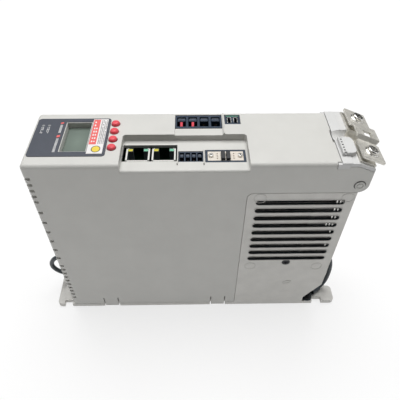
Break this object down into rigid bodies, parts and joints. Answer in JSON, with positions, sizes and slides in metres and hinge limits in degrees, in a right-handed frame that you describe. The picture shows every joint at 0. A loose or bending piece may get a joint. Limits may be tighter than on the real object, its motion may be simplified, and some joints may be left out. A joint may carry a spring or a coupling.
{
  "type": "servo drive",
  "caption": "Book-format servo drive lying on its mounting face: hood with display, keys and recessed connector strip, ventilated heatsink duct with fan, and a cable clamp.",
  "frame": {"origin": "on the mounting face, at the middle of the housing's length and width", "axes": "+Z out of the front panel, +X towards the motor-cable end, +Y across the width"},
  "size_m": [0.229, 0.0512, 0.1582],
  "materials": {
    "cast_aluminium": "bead-blasted die-cast aluminium, faint mottling",
    "fin_aluminium": "milled extruded aluminium",
    "housing_plastic": "light grey moulded PC/ABS, fine spark texture",
    "cap_plastic": "off-white moulded PC/ABS",
    "slate_film": "slate-grey printed polycarbonate film",
    "label_print": "printed label, coral, yellow and white fields",
    "lcd_glass": "grey-green reflective display glass",
    "tin_steel": "tinned steel",
    "coral_rubber": "coral-red silicone key",
    "black_plastic": "black glass-filled nylon",
    "navy_plastic": "dark navy glass-filled nylon",
    "clear_plastic": "clear acrylic light pipe",
    "jack_shell": "off-white jack shell",
    "gold_contact": "gold-plated contacts",
    "led_yellow": "yellow diffused light",
    "led_green": "green diffused light",
    "copper_pin": "copper alloy pins",
    "red_plastic": "red coding key",
    "cream_plastic": "cream thermoplastic face",
    "nickel_steel": "nickel-plated steel",
    "board_green": "green solder-mask epoxy glass",
    "brass_spacer": "nickel-free brass",
    "can_sleeve": "dark heat-shrink sleeve on aluminium can",
    "pad_silicone": "grey silicone thermal pad",
    "ferrite": "coated ferrite core",
    "relay_blue": "blue relay case",
    "gold_case": "gold-anodised resistor case",
    "zinc_clamp": "warm nickel-plated pressed steel",
    "lead_sleeve": "slate-black lead insulation",
    "orange_plastic": "orange terminal plastic"
  },
  "bodies": {
    "housing": {"board_connector": "black_plastic", "board_screws": "nickel_steel", "brake_header": "navy_plastic", "bus_capacitors": "can_sleeve", "bus_header": "navy_plastic", "button_switches": "black_plastic", "cable_cap": "cap_plastic", "chassis": "cast_aluminium", "clamp_bracket": "zinc_clamp", "clamp_spacer": "cap_plastic", "coding_keys": "red_plastic", "connector_pins": "copper_pin", "control_board": "board_green", "display_overlay": "slate_film", "earth_lead": "lead_sleeve", "earth_lug": "tin_steel", "earth_screw": "nickel_steel", "ethernet_jack_1": "jack_shell", "ethernet_jack_2": "jack_shell", "fan_frame": "black_plastic", "fan_screws": "nickel_steel", "feedback_frame": "navy_plastic", "feedback_plate": "cream_plastic", "feedback_posts": "black_plastic", "feedback_screws": "nickel_steel", "filter_choke": "ferrite", "fin_block": "fin_aluminium", "fin_screws": "nickel_steel", "hood": "housing_plastic", "info_label": "label_print", "inrush_relay": "relay_blue", "io_header": "navy_plastic", "jack_contacts": "gold_contact", "jack_leds_green": "led_green", "jack_leds_yellow": "led_yellow", "lcd_glass": "lcd_glass", "lcd_module": "tin_steel", "mains_header": "navy_plastic", "motor_header": "navy_plastic", "power_board": "board_green", "power_module": "black_plastic", "power_standoffs": "brass_spacer", "safety_header": "orange_plastic", "shunt_header": "black_plastic", "shunt_lead": "lead_sleeve", "shunt_plug": "black_plastic", "shunt_resistor": "gold_case", "snap_rivets": "housing_plastic", "status_light_pipes": "clear_plastic", "supply_header": "navy_plastic", "supply_transformer": "ferrite", "thermal_pad": "pad_silicone"},
    "key_1": {"button_1": "coral_rubber"},
    "key_2": {"button_2": "coral_rubber"},
    "key_3": {"button_3": "coral_rubber"},
    "key_4": {"button_4": "coral_rubber"},
    "fan": {"fan_rotor": "black_plastic"},
    "clamp": {"clamp_plate": "zinc_clamp"},
    "clamp_bolt_1": {"clamp_screw_1": "nickel_steel"},
    "clamp_bolt_2": {"clamp_screw_2": "nickel_steel"}
  },
  "joints": [
    {"name": "button_1_press", "type": "slide", "parent": "housing", "child": "key_1", "axis": [0, 0, -1], "range_m": [0, 0.0012], "stiffness_N_per_m": 600},
    {"name": "button_2_press", "type": "slide", "parent": "housing", "child": "key_2", "axis": [0, 0, -1], "range_m": [0, 0.0012], "stiffness_N_per_m": 600},
    {"name": "button_3_press", "type": "slide", "parent": "housing", "child": "key_3", "axis": [0, 0, -1], "range_m": [0, 0.0012], "stiffness_N_per_m": 600},
    {"name": "button_4_press", "type": "slide", "parent": "housing", "child": "key_4", "axis": [0, 0, -1], "range_m": [0, 0.0012], "stiffness_N_per_m": 600},
    {"name": "fan_spin", "type": "hinge", "parent": "housing", "child": "fan", "pos_m": [0.0828, 0, 0.092], "axis": [1, 0, 0], "continuous": true},
    {"name": "clamp_lift", "type": "slide", "parent": "housing", "child": "clamp", "axis": [0.3843, 0, 0.9232], "range_m": [-0.0015, 0.003]},
    {"name": "clamp_screw_1_turn", "type": "hinge", "parent": "clamp", "child": "clamp_bolt_1", "pos_m": [0.09871, -0.01585, 0.15303], "axis": [0.3843, 0, 0.9232], "range_deg": [-771.48, 1542.91]},
    {"name": "clamp_screw_2_turn", "type": "hinge", "parent": "clamp", "child": "clamp_bolt_2", "pos_m": [0.09871, 0.01585, 0.15303], "axis": [0.3843, 0, 0.9232], "range_deg": [-771.48, 1542.91]}
  ],
  "couplings": [
    {"joint": "clamp_screw_1_turn", "follows": "clamp_lift", "rad_per_m": 8976},
    {"joint": "clamp_screw_2_turn", "follows": "clamp_lift", "rad_per_m": 8976}
  ]
}
